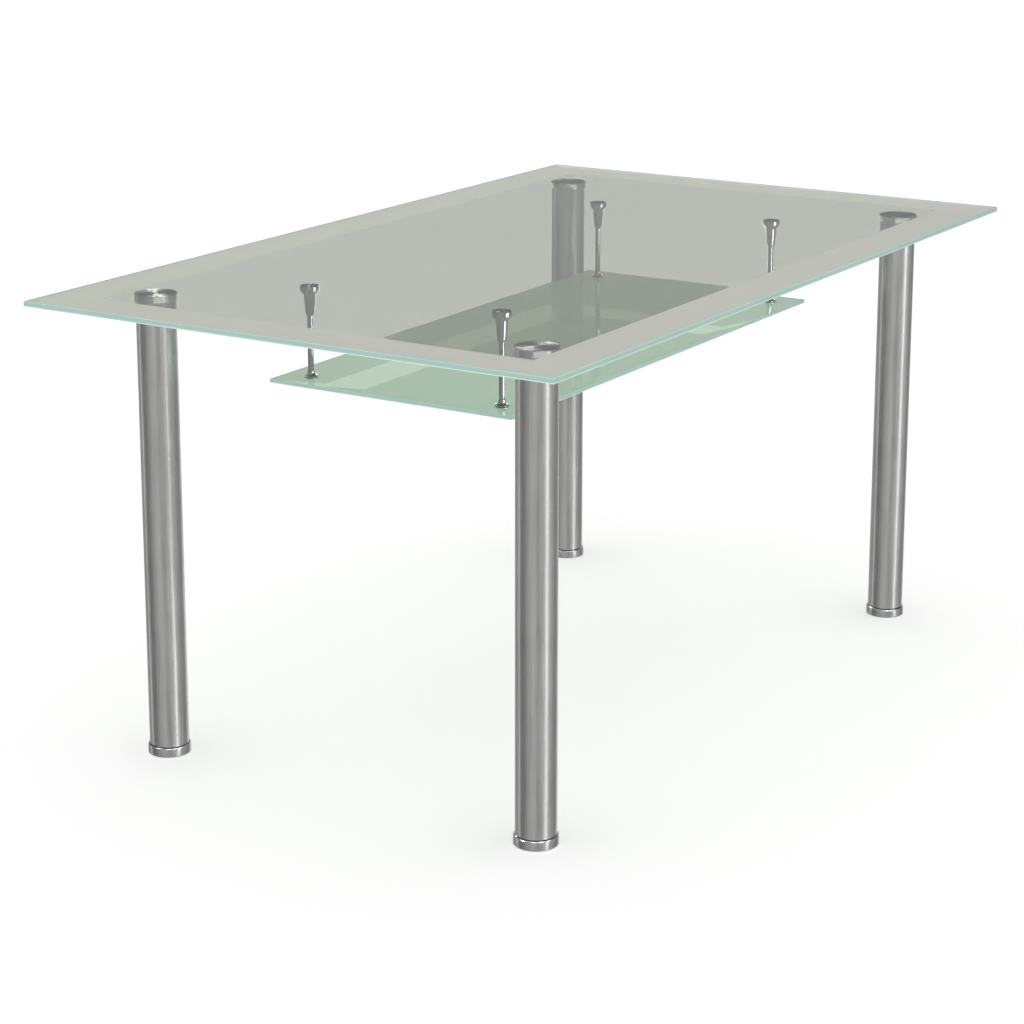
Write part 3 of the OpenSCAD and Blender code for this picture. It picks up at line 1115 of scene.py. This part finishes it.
def button_screw(low, shoulder, high, head_r, shank_r, flats, socket_depth):
    """Rows from the socket's floor, down its six walls, over the dome, and up the shank. The
    dome's row at lean t has r = R - H (1 - cos t), where H is the head's height."""
    walls = hexagon(flats)
    lean = np.radians(np.linspace(62.0, 0.0, 12))
    dome_r = head_r - (shoulder - low) * (1 - np.cos(lean))
    dome_z = low + DOME * (1 - np.sin(lean))
    return shaped_rows(
        [
            (0.0, low + socket_depth + 0.4),
            (walls, low + socket_depth),
            (walls, low + BREAK),
            (walls + BREAK, low),
            (head_r - FACE, low + 0.02),
            *zip(dome_r, dome_z),
            (head_r, shoulder - BREAK),
            (head_r - BREAK, shoulder),
            (shank_r, shoulder),
            (shank_r, high - 0.5),
            (shank_r - 0.5, high),
            (0.0, high),
        ]
    )


for c in CORNERS:
    spot, low, high, head_r = node_spot(f"shelf_screw_{c}")
    turned_screw = button_screw(
        low, low + SCREW_HEAD, high, head_r, SCREW_R, SCREW_FLATS, SCREW_SOCKET
    )
    piece(
        f"button_screw_{c}",
        [turned_screw],
        "table",
        [f"shelf_screw_{c}"],
        [zinc_steel],
        places=[spot],
    )
WASHER_BORE_R, WASHER_R = 3.25, 9.0
_, low, high = sheet_box("steel_washers")
washer = rounded(
    [(WASHER_BORE_R, low), (WASHER_R, low), (WASHER_R, high), (WASHER_BORE_R, high)], 0.2, 4
)
piece(
    "steel_washer_set",
    [lathe(washer, closed=True)],
    "table",
    ["steel_washers"],
    [zinc_steel],
    places=list(hanger_spot.values()),
)
print("screw head radius", round(head_r, 2), "washers", len(CORNERS))

# %% [markdown]
# ## Pieces that stay as the CAD has them
# Studs, plugs, nuts, soft washers and bushes are plain shapes, mostly hidden inside others. They
# keep their CAD meshes and get their finishes here.

# %% Carried-over nodes
CARRIED = {
    "disc_screw": zinc_steel,
    "top_plug": zinc_steel,
    "captive_nut": zinc_steel,
    "bottom_plug": black_plastic,
    "soft_washers": milky_plastic,
    "shelf_bushes": milky_plastic,
}
carried = 0
for name, node in frame["nodes"].items():
    for beginning, finish in CARRIED.items():
        if name.startswith(beginning):
            node.data.materials.clear()
            node.data.materials.append(finish)
            carried += 1
print("carried over", carried)

# %% [markdown]
# ## Floor
# The floor is pale and matt, and glows a little itself, so that shadows stay soft and faint. It
# doesn't show in mirrors: the ring of screens that comes next goes on below it there.


# %% Floor
def studio_floor():
    """A wide plane with a faint cloud."""
    half = 60.0
    mesh = bpy.data.meshes.new("floor")
    corners = [(-half, -half, 0), (half, -half, 0), (half, half, 0), (-half, half, 0)]
    mesh.from_pydata(corners, [], [(0, 1, 2, 3)])
    made, start = material("floor_paint")
    cloud = noise(start, placed(start), 0.8, 3.0)
    matt = start.add("ShaderNodeBsdfDiffuse", inputs={"Color": tint(start, cloud, 0.80, 0.82)})
    glow = start.add("ShaderNodeEmission", inputs={"Color": rgba(1.0), "Strength": 0.30})
    both = start.add("ShaderNodeAddShader", inputs={0: matt, 1: glow})
    mesh.materials.append(close(start, both, made))
    floor = bpy.data.objects.new("floor", mesh)
    bpy.context.scene.collection.objects.link(floor)
    floor.visible_glossy = False


studio_floor()
print("floor ready")

# %% [markdown]
# ## The room
# The room gives soft even light. What the metal mirrors is a ring of tall dark and bright screens,
# as a studio has round shining things, so that each leg shows long upright bands. Bright bands
# are narrow, and a low bright line all round keeps the glass pale when seen from its side.


# %% Room
def in_view(right, away, height):
    """A place given as steps to the camera's right, away from it, and up."""
    turn = CAMERA_TURN
    return (
        right * math.cos(turn) + away * math.sin(turn),
        -right * math.sin(turn) + away * math.cos(turn),
        height,
    )


def screens(start, direction):
    """Brightness by bearing in degrees: 0 is towards the camera, 180 is behind the table."""
    right, towards = (
        start.add(
            "ShaderNodeVectorMath",
            {"operation": "DOT_PRODUCT"},
            {0: direction, 1: in_view(across, away, 0.0)},
            output=1,
        )
        for across, away in ((1.0, 0.0), (0.0, -1.0))
    )
    bearing = start.maths("ARCTAN2", right, towards) / (2 * math.pi) + 0.5
    bands = (
        (-180, 0.46),
        (-150, 0.46),
        (-140, 0.34),
        (-112, 0.34),
        (-109, 1.4),
        (-106, 1.4),
        (-102, 0.21),
        (-70, 0.235),
        (-52, 0.42),
        (-26, 0.56),
        (-4, 0.62),
        (0, 0.42),
        (18, 0.44),
        (24, 0.56),
        (50, 0.56),
        (54, 2.6),
        (59, 2.6),
        (63, 0.52),
        (96, 0.46),
        (104, 0.32),
        (138, 0.32),
        (146, 0.46),
        (149, 1.3),
        (156, 1.3),
        (160, 0.46),
        (180, 0.46),
    )
    stops = [(degrees / 360 + 0.5, value) for degrees, value in bands]
    return start.add("ShaderNodeValToRGB", {"stops": stops}, {0: bearing})


world = bpy.data.worlds.new("studio")
bpy.context.scene.world = world
world.use_nodes = True
world.node_tree.nodes.clear()
start = Wire(world.node_tree)
direction = start.add("ShaderNodeTexCoord", output=0)
height = parts_of(start, direction)[2]
bands = screens(start, direction)
by_height = start.add(
    "ShaderNodeValToRGB",
    {
        "stops": [
            (0.0, 1.0),
            (0.02, 1.8),
            (0.06, 1.8),
            (0.11, 1.0),
            (0.26, 0.75),
            (0.42, 0.30),
            (0.80, 0.35),
            (1.0, 1.0),
        ]
    },
    {0: height},
)
overhead = height.step(0.60, 0.85)
mirrored = bands * by_height * (1.0 - overhead) + overhead * 0.34
soft_light = start.add("ShaderNodeBackground", inputs={"Color": rgba(1.0), "Strength": 0.92})
ring = start.add("ShaderNodeBackground", inputs={"Color": mirrored, "Strength": 1.0})
backdrop = start.add("ShaderNodeBackground", inputs={"Color": rgba(1.0), "Strength": 1.1})
is_mirror = start.add("ShaderNodeLightPath", output="Is Glossy Ray")
is_seen = start.add("ShaderNodeLightPath", output="Is Camera Ray")
mixed = start.add("ShaderNodeMixShader", inputs={0: is_mirror, 1: soft_light, 2: ring})
mixed = start.add("ShaderNodeMixShader", inputs={0: is_seen, 1: mixed, 2: backdrop})
start.add("ShaderNodeOutputWorld", inputs={"Surface": mixed})
print("room ready")

# %% [markdown]
# ## Soft boxes
# A few lamps only give the metal something bright to mirror: a small one high up draws the bow on
# each turned disc, wide low ones light the discs' rims, tall strips draw the white line down rods
# and sleeves, and small ones sparkle on the rolled shoulders of cups and collars. Each is linked to
# its own pieces, so that no pane shows a square spot. Some stand behind, for the views from there.


# %% Lamps
AIM = 0.4


def lamp(name, bearing, distance, height, size, radiance, lights_up):
    """A soft box (width, height) that stands at a bearing from the camera, round the table, and
    faces it. It shows only as a mirrored shape, and only in the pieces it is linked to."""
    across = math.radians(bearing)
    place = in_view(distance * math.sin(across), -distance * math.cos(across), height)
    light = bpy.data.lights.new(name, "AREA")
    light.shape = "RECTANGLE"
    light.size, light.size_y = size
    light.energy = radiance * math.pi * size[0] * size[1]
    made = bpy.data.objects.new(name, light)
    away = Vector(place) - Vector((0.0, 0.0, AIM))
    facing = away.to_track_quat("Z", "Y").to_matrix().to_4x4()
    made.matrix_world = Matrix.Translation(place) @ facing
    made.visible_diffuse = False
    made.visible_camera = False
    linked = bpy.data.collections.new(name + "_pieces")
    for piece_object in bpy.data.objects:
        if piece_object.name.startswith(lights_up):
            linked.objects.link(piece_object)
    made.light_linking.receiver_collection = linked
    bpy.context.scene.collection.objects.link(made)


DISCS = ("turned_disc",)
HANGERS = ("hanger_sleeve", "slim_rod", "bell_collar")
for number, bearing in enumerate((-149.0, 31.0)):
    lamp(f"glint_{number}", bearing, 1.17, 3.9, (0.42, 0.42), 330.0, (*DISCS, "hanger_sleeve"))
lamp("strip_front", 57.0, 2.2, 0.25, (1.2, 2.3), 8.0, ("shelf_sheet", *HANGERS))
lamp("strip_back", 178.0, 2.2, 0.0, (1.2, 1.8), 8.0, HANGERS)
lamp("disc_front", 22.0, 2.3, -0.1, (3.6, 1.6), 1.4, DISCS)
lamp("disc_back", 195.0, 2.3, -0.1, (3.6, 1.6), 1.4, DISCS)
for number, bearing in enumerate((-67.0, -11.0, 23.0, 60.0, 162.0, 200.0)):
    lamp(f"sparkle_{number}", bearing, 2.8, 2.4, (0.25, 0.25), 300.0, ("chromed_cap", *HANGERS))
print("lamps", len(bpy.data.lights))
